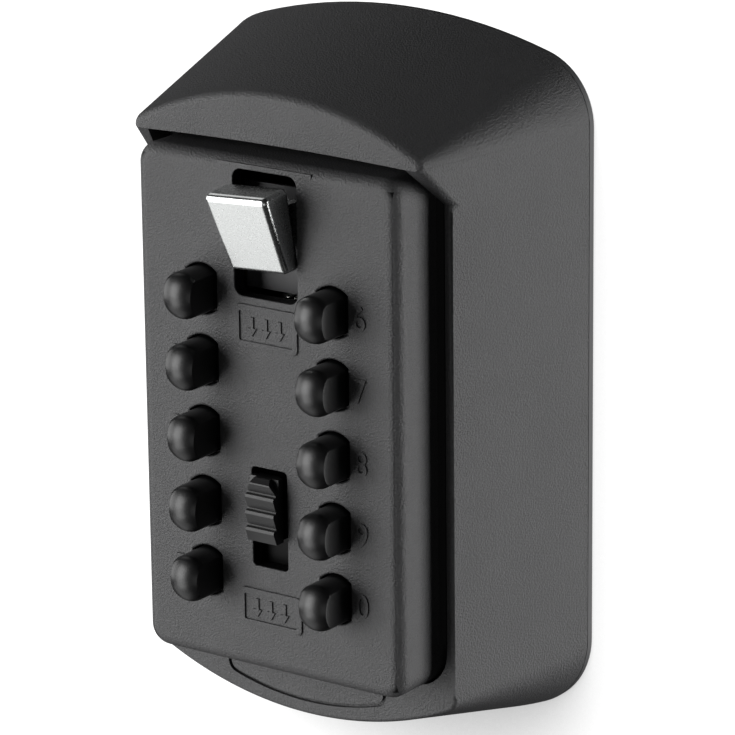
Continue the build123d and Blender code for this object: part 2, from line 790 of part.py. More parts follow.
# chrome wedge on a neck that passes through the door; it sits with a slight lean to the left
def make_open_lever():
    top_back_z = lever_top_z + lever_top_slope
    taper = (lever_top_half_width - lever_bottom_half_width) / (lever_top_z - lever_bottom_z)
    top_back_half_width = lever_top_half_width + taper * lever_top_slope
    wedge = side_prism(top_back_half_width, [
        (-lever_bottom_reach, lever_bottom_z), (lever_bottom_inset, lever_bottom_z),
        (-lever_back_gap, top_back_z), (-lever_top_reach, lever_top_z)])
    front_view = make_face(Polyline(
        (-lever_bottom_half_width, lever_bottom_z), (lever_bottom_half_width, lever_bottom_z),
        (top_back_half_width, top_back_z), (-top_back_half_width, top_back_z), close=True))
    wedge &= push(front_view, door_face_y - 2 * lever_top_reach, door_face_y + 2 * lever_bottom_inset)
    wedge = fillet(wedge.edges(), lever_edge)
    middle_z = (lever_top_z + lever_bottom_z) / 2
    wedge = Pos(0, 0, middle_z) * Rot(0, -lever_lean, 0) * Pos(0, 0, -middle_z) * wedge
    neck_low = neck_z - neck_height / 2
    neck_top = neck_z + neck_height / 2
    return wedge + door_block(neck_half_width, -lever_bottom_reach, shutter_depth, neck_low, neck_top)


# carriage with the plate that fills the lever's slot from behind
def make_lever_carriage():
    back = shutter_depth + shutter_thickness
    body = door_block(shutter_half_width, shutter_depth, back, shutter_bottom_z, shutter_top_z)
    return body + door_block(carriage_half_width, back, locking_slide_d,
                             carriage_bottom_z(), carriage_z + carriage_height / 2)


# ribbed thumb piece with its cover plate and the leg that reaches the clearing slide
def make_clear_slider():
    low = slider_z - slider_height / 2
    high = slider_z + slider_height / 2
    half = slider_width / 2
    valley = slider_reach - rib_depth
    top_crest = slider_top_reach
    profile = [(-slider_gap, low), (-slider_gap, high), (slider_top_round - top_crest, high)]
    for i in range(rib_count):
        crest = slider_reach if i else top_crest
        z = rib_first_z - i * rib_pitch
        rounded = rib_crest if i else slider_top_round
        profile += [(-crest, z - rounded), (-crest, z - rounded - rib_crest)]
        if i < rib_count - 1:
            profile += [(-valley, z - rib_scoop - rib_crest), (-valley, z - rib_pitch + rib_crest / 2),
                        (rib_crest / 2 - slider_reach, z - rib_pitch)]
    thumb = side_prism(half, profile + [(-slider_bottom_reach, low)])
    for side in (-1, 1):
        corner = make_face(Polyline(
            (side * half, high - rib_scoop - rib_crest), (side * half, high),
            (side * (half - slider_top_corner), high), close=True))
        thumb -= push(corner, door_face_y - 2 * slider_reach, door_face_y - slider_top_reach / 2)
    front = door_front_wall + stop_gap
    thumb += door_block(slider_neck_half_width, -slider_gap, front + cap_plate_thickness / 2, low, high)
    thumb += door_block(cap_plate_half_width, front, front + cap_plate_thickness,
                        cap_plate_bottom_z, cap_plate_top_z)
    leg_low = leg_bottom_z()
    return thumb + door_block(leg_half_width, front, clear_plate_d, leg_low, leg_low + leg_height)


def save(name, shape):
    export_step(shape, f"parts/{name}.step")


os.makedirs("parts", exist_ok=True)
save("housing", make_housing())
save("wall_gasket", make_wall_gasket())
save("strike_plate", make_strike_plate())
save("strike_screws", make_strike_screws())
save("door_shell", make_door_shell())
save("door_seal", make_door_seal())
save("guide_plate", make_guide_plate())
save("guide_posts", make_guide_posts())
save("plate_spacers", make_spacers())
save("plate_screws", make_plate_screws())
save("lock_back_plate", make_back_plate())
save("bolt_guide", make_bolt_guide())
save("back_cover", make_back_cover())
save("cover_screws", make_cover_screws())
save("open_lever", make_open_lever())
save("lever_carriage", make_lever_carriage())
save("code_slide", make_code_slide())
save("bolt_drive_pin", make_drive_pin())
save("lever_spring", upright_spring(lever_spring_d(), lever_tab_z(), lever_spring_length,
                                    slide_spring_turns))
save("clear_slider", make_clear_slider())
save("clear_slide", make_clear_slide())
save("clear_spring", upright_spring(clear_spring_d(), clear_tab_z(), clear_spring_length,
                                    slide_spring_turns))
save("latch_bolt", make_latch_bolt())
save("bolt_spring", upright_spring(bolt_front_d() + bolt_thickness / 2, bolt_bottom_z() - bolt_spring_length,
                                   bolt_spring_length, bolt_spring_turns))
for button_name, (button_x, button_z) in zip(button_names, button_places):
    save(f"button_{button_name}", make_button(button_x, button_z))
    save(f"button_spring_{button_name}", make_button_spring(button_x, button_z))
    save(f"code_stem_{button_name}", make_code_stem(button_x, button_z))
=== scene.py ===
import json
from math import atan2, cos, pi, radians, sin, sqrt

import bmesh
import bpy
from mathutils import Matrix, Vector


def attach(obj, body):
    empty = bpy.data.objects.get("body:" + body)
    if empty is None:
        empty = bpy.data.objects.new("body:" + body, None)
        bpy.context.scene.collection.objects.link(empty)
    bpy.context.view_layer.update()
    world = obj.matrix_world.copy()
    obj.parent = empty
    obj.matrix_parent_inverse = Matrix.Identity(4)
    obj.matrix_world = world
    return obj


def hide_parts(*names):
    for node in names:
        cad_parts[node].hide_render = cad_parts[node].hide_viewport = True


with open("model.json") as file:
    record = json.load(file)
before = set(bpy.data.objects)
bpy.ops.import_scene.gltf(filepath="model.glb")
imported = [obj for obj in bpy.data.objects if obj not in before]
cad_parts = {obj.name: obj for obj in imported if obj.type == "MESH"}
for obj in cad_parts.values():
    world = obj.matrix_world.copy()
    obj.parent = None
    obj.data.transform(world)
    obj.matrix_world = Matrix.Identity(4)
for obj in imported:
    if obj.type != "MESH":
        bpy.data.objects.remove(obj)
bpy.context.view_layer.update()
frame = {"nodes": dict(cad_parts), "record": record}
nodes = frame["nodes"]
mm = 0.001  # the scene is in metres, and sizes below are in millimetres where nothing else is said
near = 0.001  # mm; points closer than this are one point
doorFaceY = -48.8  # the door's front face; the wall is at 0 and the front faces -Y
print("frame loaded:", len(nodes), "nodes")

# the photograph's camera, solved for a square picture
camera = {
    "lens": 215.28,
    "sensor": 36.0,
    "turn": 35.228,  # degrees to the right of straight in front
    "height": 16.933,  # degrees above the horizon
    "roll": -0.6536,  # degrees
    "distance": 858.64,
    "target": (24.416, -48.8, 15.50),
    "sight": 20,  # metres
}


def makeCamera():
    turn, height = radians(camera["turn"]), radians(camera["height"])
    across = Vector((cos(turn), sin(turn), 0))
    ahead = Vector((-sin(turn) * cos(height), cos(turn) * cos(height), -sin(height)))
    upward = across.cross(ahead)
    roll = Matrix.Rotation(-radians(camera["roll"]), 3, ahead)
    axes = Matrix((roll @ across, roll @ upward, -ahead)).transposed()
    data = bpy.data.cameras.new("photoCamera")
    data.lens = camera["lens"]
    data.sensor_width = camera["sensor"]
    data.clip_end = camera["sight"]
    eye = (Vector(camera["target"]) - ahead * camera["distance"]) * mm
    obj = bpy.data.objects.new("photoCamera", data)
    obj.matrix_world = Matrix.Translation(eye) @ axes.to_4x4()
    bpy.context.scene.collection.objects.link(obj)
    bpy.context.scene.camera = obj


makeCamera()
print("camera set")


# an sRGB hex value as the linear colour a shader takes
def linear(hexColour):
    channels = [int(hexColour[i:i + 2], 16) / 255 for i in (1, 3, 5)]
    low = [c / 12.92 for c in channels]
    high = [((c + 0.055) / 1.055) ** 2.4 for c in channels]
    return [a if c <= 0.04045 else b for c, a, b in zip(channels, low, high)] + [1.0]


def addNode(tree, kind, settings={}, links={}):
    node = tree.nodes.new(kind)
    for name, value in settings.items():
        if isinstance(name, int) or name in node.inputs:
            node.inputs[name].default_value = value
        else:
            setattr(node, name, value)
    for name, source in links.items():
        tree.links.new(source, node.inputs[name])
    return node


def newMaterial(name):
    material = bpy.data.materials.new(name)
    material.use_nodes = True
    material.node_tree.nodes.clear()
    return material, material.node_tree


def finishMaterial(material, tree, shader):
    output = addNode(tree, "ShaderNodeOutputMaterial")
    tree.links.new(shader.outputs[0], output.inputs["Surface"])
    return material


# painted shade in the door's openings, standing in for the little light that reaches them: how far
# behind its face the painted shade starts and becomes full,
#  the part of the door that this holds for, and the share of the colour and reflection that is left
paintedOpeningShade = {"from": 0.1, "full": 0.5, "halfWidth": 30.5, "halfHeight": 51.5, "share": 0.12}
fullShine = 0.5  # a shader's own specular level


# how much of the colour and reflection is left at a point under the painted shade; the door's outer
# sides keep all of theirs
def paintedShadeShare(tree, place, keepsSides):
    axes = addNode(tree, "ShaderNodeSeparateXYZ", {}, {"Vector": place.outputs["Object"]})
    share = addNode(tree, "ShaderNodeMapRange",
                    {"From Min": (doorFaceY + paintedOpeningShade["from"]) * mm,
                     "From Max": (doorFaceY + paintedOpeningShade["full"]) * mm,
                     "To Min": 1.0, "To Max": paintedOpeningShade["share"]}, {"Value": axes.outputs["Y"]})
    limits = (("X", paintedOpeningShade["halfWidth"]), ("Z", paintedOpeningShade["halfHeight"])) if keepsSides else ()
    for axis, limit in limits:
        off = addNode(tree, "ShaderNodeMath", {"operation": "ABSOLUTE"}, {0: axes.outputs[axis]})
        beyond = addNode(tree, "ShaderNodeMath", {"operation": "GREATER_THAN", 1: limit * mm},
                         {0: off.outputs[0]})
        share = addNode(tree, "ShaderNodeMath", {"operation": "MAXIMUM"},
                        {0: share.outputs[0], 1: beyond.outputs[0]})
    return share


# paints shade: dims the colour and the shine of a shader by a share
def paintShade(tree, shader, share, colour):
    thin = addNode(tree, "ShaderNodeVectorMath", {"operation": "SCALE"},
                   {0: colour, "Scale": share.outputs[0]})
    tree.links.new(thin.outputs[0], shader.inputs["Base Color"])
    shine = addNode(tree, "ShaderNodeMath", {"operation": "MULTIPLY", 1: fullShine},
                    {0: share.outputs[0]})
    tree.links.new(shine.outputs[0], shader.inputs["Specular IOR Level"])


# polyester powder coat baked on die-cast zinc: a satin black that turns grey under a light,
# with a fine pebbled grain that breaks up every reflection
powderCoat = {
    "colour": "#3b3b3c",
    "roughness": 0.5,
    "roughnessSpread": 0.04,
    "ior": 1.5,
    "grain": 0.42,  # across a few pebbles, drawn as coarse as the photograph needs to show them
    "grainDetail": 3.0,
    "grainFineness": 0.6,
    "grainDepth": 0.3,
    "grainStrength": 0.8,
    "speckle": 0.5,  # how much lighter or darker than the coat a pebble is
    "cloud": 9.0,  # across a patch of even gloss
    "cloudDetail": 2.0,
}


def powderCoatMaterial(name, isDoor=False):
    coat = powderCoat
    material, tree = newMaterial(name)
    place = addNode(tree, "ShaderNodeTexCoord")
    fine = addNode(tree, "ShaderNodeTexNoise",
                   {"Scale": 1 / (coat["grain"] * mm), "Detail": coat["grainDetail"],
                    "Roughness": coat["grainFineness"]}, {"Vector": place.outputs["Object"]})
    broad = addNode(tree, "ShaderNodeTexNoise",
                    {"Scale": 1 / (coat["cloud"] * mm), "Detail": coat["cloudDetail"]},
                    {"Vector": place.outputs["Object"]})
    tint = addNode(tree, "ShaderNodeMix", {"data_type": "RGBA"}, {0: fine.outputs["Fac"]})
    for socket, share in ((6, 1 - coat["speckle"]), (7, 1 + coat["speckle"])):
        tint.inputs[socket].default_value = [c * share for c in linear(coat["colour"])[:3]] + [1]
    gloss = addNode(tree, "ShaderNodeMapRange",
                    {"To Min": coat["roughness"] - coat["roughnessSpread"],
                     "To Max": coat["roughness"] + coat["roughnessSpread"]},
                    {"Value": broad.outputs["Fac"]})
    bump = addNode(tree, "ShaderNodeBump",
                   {"Strength": coat["grainStrength"], "Distance": coat["grainDepth"] * mm},
                   {"Height": fine.outputs["Fac"]})
    shader = addNode(tree, "ShaderNodeBsdfPrincipled", {"IOR": coat["ior"]},
                     {"Base Color": tint.outputs[2], "Roughness": gloss.outputs[0],
                      "Normal": bump.outputs[0]})
    # painted shade: the door's colour and shine are darkened inside its openings
    if isDoor:
        paintShade(tree, shader, paintedShadeShare(tree, place, True), tint.outputs[2])
    return finishMaterial(material, tree, shader)


# what the plain finishes share: how far the gloss strays, and how clear the grain is
plainFinish = {"roughnessSpread": 0.05, "grainDetail": 2.0, "grainStrength": 0.5}


def plainMaterial(name, colour, roughness, metallic, grain, grainDepth, paintsSlotShade=False):
    material, tree = newMaterial(name)
    place = addNode(tree, "ShaderNodeTexCoord")
    fine = addNode(tree, "ShaderNodeTexNoise",
                   {"Scale": 1 / (grain * mm), "Detail": plainFinish["grainDetail"]},
                   {"Vector": place.outputs["Object"]})
    gloss = addNode(tree, "ShaderNodeMapRange",
                    {"To Min": roughness - plainFinish["roughnessSpread"],
                     "To Max": roughness + plainFinish["roughnessSpread"]},
                    {"Value": fine.outputs["Fac"]})
    bump = addNode(tree, "ShaderNodeBump",
                   {"Strength": plainFinish["grainStrength"], "Distance": grainDepth * mm},
                   {"Height": fine.outputs["Fac"]})
    shader = addNode(tree, "ShaderNodeBsdfPrincipled",
                     {"Base Color": linear(colour), "Metallic": metallic},
                     {"Roughness": gloss.outputs[0], "Normal": bump.outputs[0]})
    # painted shade: colour and shine are darkened behind the door's face
    if paintsSlotShade:
        paint = addNode(tree, "ShaderNodeRGB")
        paint.outputs[0].default_value = linear(colour)
        paintShade(tree, shader, paintedShadeShare(tree, place, False), paint.outputs[0])
    return finishMaterial(material, tree, shader)


# the numbers are roughness, metallic, then the grain's width and depth
materials = {
    "housing_coat": powderCoatMaterial("blackPowderCoatHousing"),
    # the door's coat, with painted shade inside its openings
    "door_coat": powderCoatMaterial("blackPowderCoatDoor", isDoor=True),
    # chrome plate on a cast lever: bright and cool, its highlight softened by the casting under it
    "lever_chrome": plainMaterial("brightChromePlate", "#dcdedd", 0.26, 1.0, 0.6, 0.0005),
    # acetal from a polished mould: deep black with a small clear highlight on each dome
    "button_plastic": plainMaterial("blackMouldedAcetal", "#0c0c0d", 0.36, 0.0, 0.5, 0.004),
    # nylon from a mould: as black but duller, so the ribs catch only a thin light; painted shade
    # darkens it inside its slot
    "slider_plastic": plainMaterial("blackMouldedNylon", "#0b0b0c", 0.4, 0.0, 0.5, 0.004, True),
    # filled nylon from a mould: dull dark grey with a coarse grain, seen only in the lever's slot
    "carriage_plastic": plainMaterial("darkMouldedCarriage", "#2b2b2d", 0.5, 0.0, 0.4, 0.03),
    # ABS from a grained mould: an even satin black
    "cover_plastic": plainMaterial("blackMouldedCover", "#242426", 0.45, 0.0, 0.4, 0.01),
    # die-cut foam rubber: a matt grey edge, paler than the coat beside it
    "gasket_rubber": plainMaterial("blackFoamRubber", "#3e3e3f", 0.5, 0.0, 0.4, 0.02),
    # extruded rubber: matt black that swallows the light in the gap
    "seal_rubber": plainMaterial("blackSealRubber", "#101011", 0.6, 0.0, 0.5, 0.01),
    # rolled and zinc plated sheet steel: pale grey with a wide, slightly uneven sheen
    "steel_plate": plainMaterial("zincPlatedSheet", "#a9aaa6", 0.35, 1.0, 2.0, 0.004),
    # turned and zinc plated screws: a little brighter than the sheet
    "steel_fixings": plainMaterial("zincPlatedScrews", "#b3b2ac", 0.3, 1.0, 1.0, 0.003),
    # ground bar steel: grey with a clear sheen
    "bolt_steel": plainMaterial("groundSteel", "#a5a5a0", 0.28, 1.0, 0.5, 0.003),
    # drawn spring wire: grey, with a thin bright line along each turn
    "spring_wire": plainMaterial("springWire", "#9c9c98", 0.25, 1.0, 0.5, 0.002),
    # turned brass: warm yellow with a clear sheen
    "stem_brass": plainMaterial("turnedBrass", "#c2a050", 0.28, 1.0, 0.5, 0.003),
}

slotOfNode = {entry["node"]: entry["material_slot"] for entry in frame["record"]["subparts"]}
for name, obj in nodes.items():
    obj.data.materials.clear()
    obj.data.materials.append(materials[slotOfNode[name]])
print("materials on", len(nodes), "nodes")

# edges sharper than this many degrees stay sharp; a button's flats meet its dome more gently
sharpAngle = {"cast": 35, "moulded": 50}


# hands a finished bmesh in millimetres to an object that rides on a body
def addPiece(name, bm, body, slot, finish="cast"):
    bmesh.ops.remove_doubles(bm, verts=bm.verts, dist=near)
    bmesh.ops.recalc_face_normals(bm, faces=bm.faces)
    bmesh.ops.scale(bm, vec=(mm, mm, mm), verts=bm.verts)
    mesh = bpy.data.meshes.new(name)
    bm.to_mesh(mesh)
    bm.free()
    mesh.shade_smooth()
    mesh.set_sharp_from_angle(angle=radians(sharpAngle[finish]))
    mesh.materials.append(materials[slot])
    obj = bpy.data.objects.new(name, mesh)
    bpy.context.scene.collection.objects.link(obj)
    if finish == "cast":  # large faces shade flat, and only their rounded edges shade smoothly
        flatShading = obj.modifiers.new("flatShading", "WEIGHTED_NORMAL")
        flatShading.keep_sharp = True
        flatShading.weight = 100
    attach(obj, body)
    return obj


def bevelEdges(bm, edges, width, segments):
    bmesh.ops.bevel(bm, geom=edges, offset=width, offset_type="OFFSET", affect="EDGES",
                    segments=segments, profile=0.5, material=-1, clamp_overlap=True)


# turns the last vertex of a chain round a centre and adds the new vertices to the chain
def turnOn(bm, chain, centre, angle, steps, axis=(0, 1, 0)):
    known = len(bm.verts)
    bmesh.ops.spin(bm, geom=[chain[-1]], cent=centre, axis=axis, angle=angle, steps=steps,
                   use_duplicate=False)
    bm.verts.ensure_lookup_table()
    chain += bm.verts[known:]


def lineTo(bm, chain, point, steps=1):
    start = chain[-1].co.copy()
    for i in range(1, steps + 1):
        vert = bm.verts.new(start.lerp(Vector(point), i / steps))
        bm.edges.new((chain[-1], vert))
        chain.append(vert)


def edgesOf(chain):
    return [next(e for e in a.link_edges if b in e.verts) for a, b in zip(chain, chain[1:])]


def allOf(bm):
    return bm.verts[:] + bm.edges[:] + bm.faces[:]


# the cast housing flares from the hood's face to the wall; a ring is its outline at one depth
housing = {
    "hoodY": -45.3, "rimY": -37.2, "lipY": -34.2, "innerBackY": -5.0, "backY": -1.5,
    "hoodRing": {"halfWidth": 34.9, "top": 66.2, "bottom": 64.0,
                 "topRadius": 71.8, "bottomRadius": 80.9, "topCorner": 2.4, "bottomCorner": 2.4},
    "backRing": {"halfWidth": 45.7, "top": 75.9, "bottom": 74.6,
                 "topRadius": 120.2, "bottomRadius": 88.6, "topCorner": 15.0, "bottomCorner": 17.0},
    "rimCorner": 3.0,
    "wall": 3.0,
    "sidePoints": (52.0, 44.0),  # heights of two more points on a flat outline's side
    "hoodSideTop": 55.4, "hoodSideBottom": 47.3,
    "openingHalfWidth": 34.9, "hoodOpeningHalfWidth": 31.25,
    "openingBottom": -53.75, "openingCorner": 8.0,
    "openingSide": 55.4, "openingRise": 0.6,
    "archSteps": 20, "cornerSteps": 8,
    # width and segments of each rounded edge, in the order they are made
    "edges": {"hood": (1.4, 4), "rim": (0.7, 4), "opening": (0.35, 3), "back": (0.2, 4)},
    "panel": {"halfWidth": 19.9, "bottom": 63.3, "radius": 61.0, "corner": 2.5},
    "panelTop": -45.0, "panelArchSteps": 16, "panelCornerSteps": 8,
    "grooveWidth": 0.8, "grooveDepth": 0.8,
    "fixings": (22.5, 40.0), "fixingRadius": 2.75, "fixingOverrun": 3.0,
    "padRadius": 6.5, "padHeight": 1.0, "padSink": 1.0,
    "strikeScrew": (7.5, 58.75), "strikeScrewRadius": 1.25,
    "strikeScrewEnd": -39.5, "strikeScrewOverrun": 1.0,
    "barSegments": 40,
}


# the outline's sizes at a depth, drawn in by an inset; its corners grow faster behind the rim
def ringAt(y, inset=0.0):
    front, back, rimCorner = housing["hoodRing"], housing["backRing"], housing["rimCorner"]
    depth = housing["backY"] - housing["hoodY"]
    share = (y - housing["hoodY"]) / depth
    rimShare = (housing["rimY"] - housing["hoodY"]) / depth
    ring = {key: front[key] + (back[key] - front[key]) * share - inset for key in front}
    for key in ("topCorner", "bottomCorner"):
        if share <= rimShare:
            grown = front[key] + (rimCorner - front[key]) * share / rimShare
        else:
            grown = rimCorner + (back[key] - rimCorner) * (share - rimShare) / (1 - rimShare)
        ring[key] = max(grown - inset, front[key])
    return ring


# the corner circle that touches a straight side and an arch: its centre's place across and up,
# the height of the arch's centre, and the arch's angle
def cornerTurn(halfWidth, apex, radius, corner):
    across = halfWidth - corner
    middle = apex - radius
    up = middle + sqrt((radius - corner) ** 2 - across ** 2)
    return across, up, middle, atan2(across, up - middle)


# right half of an outline, from its top centre to its bottom centre
def halfOutline(bm, upperY, upper, sidePoints, lowerY, lower):
    archSteps, cornerSteps = housing["archSteps"], housing["cornerSteps"]
    chain = [bm.verts.new((0, upperY, upper["top"]))]
    across, up, middle, angle = cornerTurn(upper["halfWidth"], upper["top"], upper["topRadius"],
                                           upper["topCorner"])
    turnOn(bm, chain, (0, 0, middle), angle, archSteps)
    turnOn(bm, chain, (across, 0, up), pi / 2 - angle, cornerSteps)
    for point in sidePoints:
        lineTo(bm, chain, point)
    across, up, middle, angle = cornerTurn(lower["halfWidth"], lower["bottom"],
                                           lower["bottomRadius"], lower["bottomCorner"])
    lineTo(bm, chain, (lower["halfWidth"], lowerY, -up))
    turnOn(bm, chain, (across, 0, -up), pi / 2 - angle, cornerSteps)
    turnOn(bm, chain, (0, 0, -middle), angle, archSteps)
    return chain


def flatOutline(bm, y, inset):
    ring = ringAt(y, inset)
    sidePoints = [(ring["halfWidth"], y, z) for z in housing["sidePoints"]]
    return halfOutline(bm, y, ring, sidePoints, y, ring)


# right half of the opening's edge, with as many vertices as an outline has
def halfOpening(bm):
    h = housing
    half, rise = h["hoodOpeningHalfWidth"], h["openingRise"]
    radius = (half ** 2 + rise ** 2) / (2 * rise)
    top = h["openingSide"] + rise
    chain = [bm.verts.new((0, h["hoodY"], top))]
    turnOn(bm, chain, (0, 0, top - radius), atan2(half, radius - rise),
           h["archSteps"] + h["cornerSteps"] + 1)
    lineTo(bm, chain, (h["openingHalfWidth"], h["rimY"], h["hoodSideBottom"]))
    across, up = h["openingHalfWidth"] - h["openingCorner"], h["openingBottom"] + h["openingCorner"]
    lineTo(bm, chain, (h["openingHalfWidth"], h["rimY"], up))
    turnOn(bm, chain, (across, 0, up), pi / 2, h["cornerSteps"])
    lineTo(bm, chain, (0, h["rimY"], h["openingBottom"]), h["archSteps"])
    return chain


# the same for a vertex and its mirror image
def placeKey(co):
    return round(abs(co.x), 3), round(co.y, 3), round(co.z, 3)


def makeHousing():
    h = housing
    bm = bmesh.new()
    hoodRing, rimRing = ringAt(h["hoodY"]), ringAt(h["rimY"])
    hoodSide = [(hoodRing["halfWidth"], h["hoodY"], h["hoodSideTop"]),
                (rimRing["halfWidth"], h["rimY"], h["hoodSideBottom"])]
    front = halfOutline(bm, h["hoodY"], hoodRing, hoodSide, h["rimY"], rimRing)
    back = flatOutline(bm, h["backY"], 0)
    opening = halfOpening(bm)
    lipInside = flatOutline(bm, h["lipY"], h["wall"])
    floorInside = flatOutline(bm, h["innerBackY"], h["wall"])

    # the opening's wall goes straight back from its edge, and its arch spreads to the full width
    grown = bmesh.ops.extrude_edge_only(bm, edges=edgesOf(opening))["geom"]
    lipVerts = [g for g in grown if isinstance(g, bmesh.types.BMVert)]
    lipEdges = [g for g in grown if isinstance(g, bmesh.types.BMEdge)]
    bmesh.ops.scale(bm, vec=(1, 0, 1), space=Matrix.Translation((0, -h["lipY"], 0)), verts=lipVerts)
    archVerts = [v for v in lipVerts if v.co.z > h["openingSide"] - near]
    spread = h["openingHalfWidth"] / h["hoodOpeningHalfWidth"]
    bmesh.ops.scale(bm, vec=(spread, 1, 1), verts=archVerts)
    for one, other in ((edgesOf(front), edgesOf(back)), (edgesOf(front), edgesOf(opening)),
                       (lipEdges, edgesOf(lipInside)), (edgesOf(lipInside), edgesOf(floorInside))):
        bmesh.ops.bridge_loops(bm, edges=one + other)

    # the edges to round are kept by place, because mirroring makes new ones
    hoodEnd = next(i for i, v in enumerate(front) if v.co.z < h["hoodSideBottom"] + near)
    chains = {"hood": front[:hoodEnd + 1], "rim": front[hoodEnd:], "opening": opening, "back": back}
    places = {name: {placeKey(v.co) for v in chain} for name, chain in chains.items()}
    bmesh.ops.mirror(bm, geom=allOf(bm), merge_dist=near, axis="X")
    for y in (h["backY"], h["innerBackY"]):
        loop = [e for e in bm.edges
                if e.is_boundary and all(abs(v.co.y - y) < near for v in e.verts)]
        bmesh.ops.contextual_create(bm, geom=loop)
    print("housing open edges:", sum(e.is_boundary for e in bm.edges))
    bmesh.ops.recalc_face_normals(bm, faces=bm.faces)
    for name, (width, segments) in h["edges"].items():
        edges = [e for e in bm.edges if all(placeKey(v.co) in places[name] for v in e.verts)]
        bevelEdges(bm, edges, width, segments)
    bm = booleanOf(bm, housingPads(), "UNION")
    return booleanOf(bm, housingCuts(), "DIFFERENCE")


def meshObject(name, bm):
    mesh = bpy.data.meshes.new(name)
    bm.to_mesh(mesh)
    bm.free()
    obj = bpy.data.objects.new(name, mesh)
    bpy.context.scene.collection.objects.link(obj)
    return obj


# a solid in millimetres joined with, or cut by, the solids of another bmesh
def booleanOf(bm, toolBm, operation):
    base, tool = meshObject("booleanBase", bm), meshObject("booleanTool", toolBm)
    modifier = base.modifiers.new("boolean", "BOOLEAN")
    modifier.operation, modifier.solver, modifier.object = operation, "EXACT", tool
    result = bmesh.new()
    result.from_object(base, bpy.context.evaluated_depsgraph_get())
    for obj in (base, tool):
        bpy.data.meshes.remove(obj.data)
    return result


# a round bar from one depth to another
def addBar(bm, x, z, fromY, toY, radius):
    turned = Matrix.Translation((x, (fromY + toY) / 2, z)) @ Matrix.Rotation(pi / 2, 4, "X")
    bmesh.ops.create_cone(bm, cap_ends=True, segments=housing["barSegments"], radius1=radius,
                          radius2=radius, depth=abs(toY - fromY), matrix=turned)


def fourCorners(x, z):
    return [(side * x, end * z) for side in (-1, 1) for end in (-1, 1)]


# raised pads round the wall holes
def housingPads():
    h = housing
    bm = bmesh.new()
    for x, z in fourCorners(*h["fixings"]):
        addBar(bm, x, z, h["innerBackY"] - h["padHeight"], h["innerBackY"] + h["padSink"],
               h["padRadius"])
    return bm


# wall holes, the strike's screw holes and the groove round the thumb panel
def housingCuts():
    h = housing
    bm = bmesh.new()
    for x, z in fourCorners(*h["fixings"]):
        addBar(bm, x, z, h["innerBackY"] - h["fixingOverrun"], h["backY"] + h["fixingOverrun"],
               h["fixingRadius"])
    for side in (-1, 1):
        addBar(bm, side * h["strikeScrew"][0], h["strikeScrew"][1], h["strikeScrewEnd"],
               h["lipY"] + h["strikeScrewOverrun"], h["strikeScrewRadius"])
    groove = bmesh.new()
    floorY = h["rimY"] - h["grooveDepth"]
    chains = []
    for inset in (0, h["grooveWidth"]):
        shape = {key: value - inset for key, value in h["panel"].items()}
        across, up, middle, angle = cornerTurn(shape["halfWidth"], shape["bottom"],
                                               shape["radius"], shape["corner"])
        chain = [groove.verts.new((shape["halfWidth"], floorY, h["panelTop"]))]
        lineTo(groove, chain, (shape["halfWidth"], floorY, -up))
        turnOn(groove, chain, (across, 0, -up), pi / 2 - angle, h["panelCornerSteps"])
        turnOn(groove, chain, (0, 0, -middle), angle, h["panelArchSteps"])
        chains.append(chain)
    bmesh.ops.bridge_loops(groove, edges=edgesOf(chains[0]) + edgesOf(chains[1]))
    bmesh.ops.mirror(groove, geom=allOf(groove), merge_dist=near, axis="X")
    deepen(groove, 2 * h["grooveDepth"])
    joinTo(bm, groove)
    return bm


def joinTo(bm, part):
    mesh = bpy.data.meshes.new("joined")
    part.to_mesh(mesh)
    part.free()
    bm.from_mesh(mesh)
    bpy.data.meshes.remove(mesh)


# pushes flat faces back by a depth to make a closed solid
def deepen(bm, depth):
    grown = bmesh.ops.extrude_face_region(bm, geom=bm.faces[:], use_keep_orig=True)["geom"]
    bmesh.ops.translate(bm, vec=(0, depth, 0),
                        verts=[g for g in grown if isinstance(g, bmesh.types.BMVert)])
    bmesh.ops.recalc_face_normals(bm, faces=bm.faces)


housingPiece = addPiece("castHousing", makeHousing(), "housing", "housing_coat")
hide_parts("housing")
print("housing made")

# labels cast on the door: a raised frame with three plain arrows in it
label = {
    "rise": 0.35,
    "sink": 0.3,
    # half the width and half the height of each frame
    "frames": ({"z": 19.35, "outer": (7.7, 4.45), "inner": (6.5, 3.1)},
               {"z": -39.95, "outer": (7.7, 4.05), "inner": (6.5, 2.75)}),
    "outerCorner": 1.2,
    "innerCorner": 0.35,
    "cornerSteps": 6,
    "soften": 0.1,
    "softenSegments": 2,
    "arrowPitch": 3.4,
    "arrowRise": 0.3,
    "arrow": ((-0.35, 2.0), (0.35, 2.0), (0.35, -0.3), (1.05, -0.3), (0, -2.0), (-1.05, -0.3),
              (-0.35, -0.3)),
}


# closed rounded rectangle of edges
def roundedLoop(bm, halfWidth, halfHeight, corner, middleZ, y):
    chain = [bm.verts.new((halfWidth, y, middleZ - halfHeight + corner))]
    for sideX, sideZ in ((1, 1), (-1, 1), (-1, -1), (1, -1)):
        x, z = sideX * (halfWidth - corner), middleZ + sideZ * (halfHeight - corner)
        reachX, reachZ = (corner, 0) if sideX == sideZ else (0, corner)
        lineTo(bm, chain, (x + sideX * reachX, y, z + sideZ * reachZ))
        turnOn(bm, chain, (x, 0, z), -pi / 2, label["cornerSteps"])
    bmesh.ops.remove_doubles(bm, verts=bm.verts, dist=near)
    bm.verts.ensure_lookup_table()


# closes flat faces at a depth to a solid that is sunk in the door, with its front edge softened
def castOnDoor(bm, flat, rise):
    deepen(flat, rise + label["sink"])
    edges = [e for e in flat.edges if all(abs(v.co.y - doorFaceY + rise) < near for v in e.verts)
             and any(abs(f.normal.y) < 0.5 for f in e.link_faces)]
    bevelEdges(flat, edges, label["soften"], label["softenSegments"])
    joinTo(bm, flat)


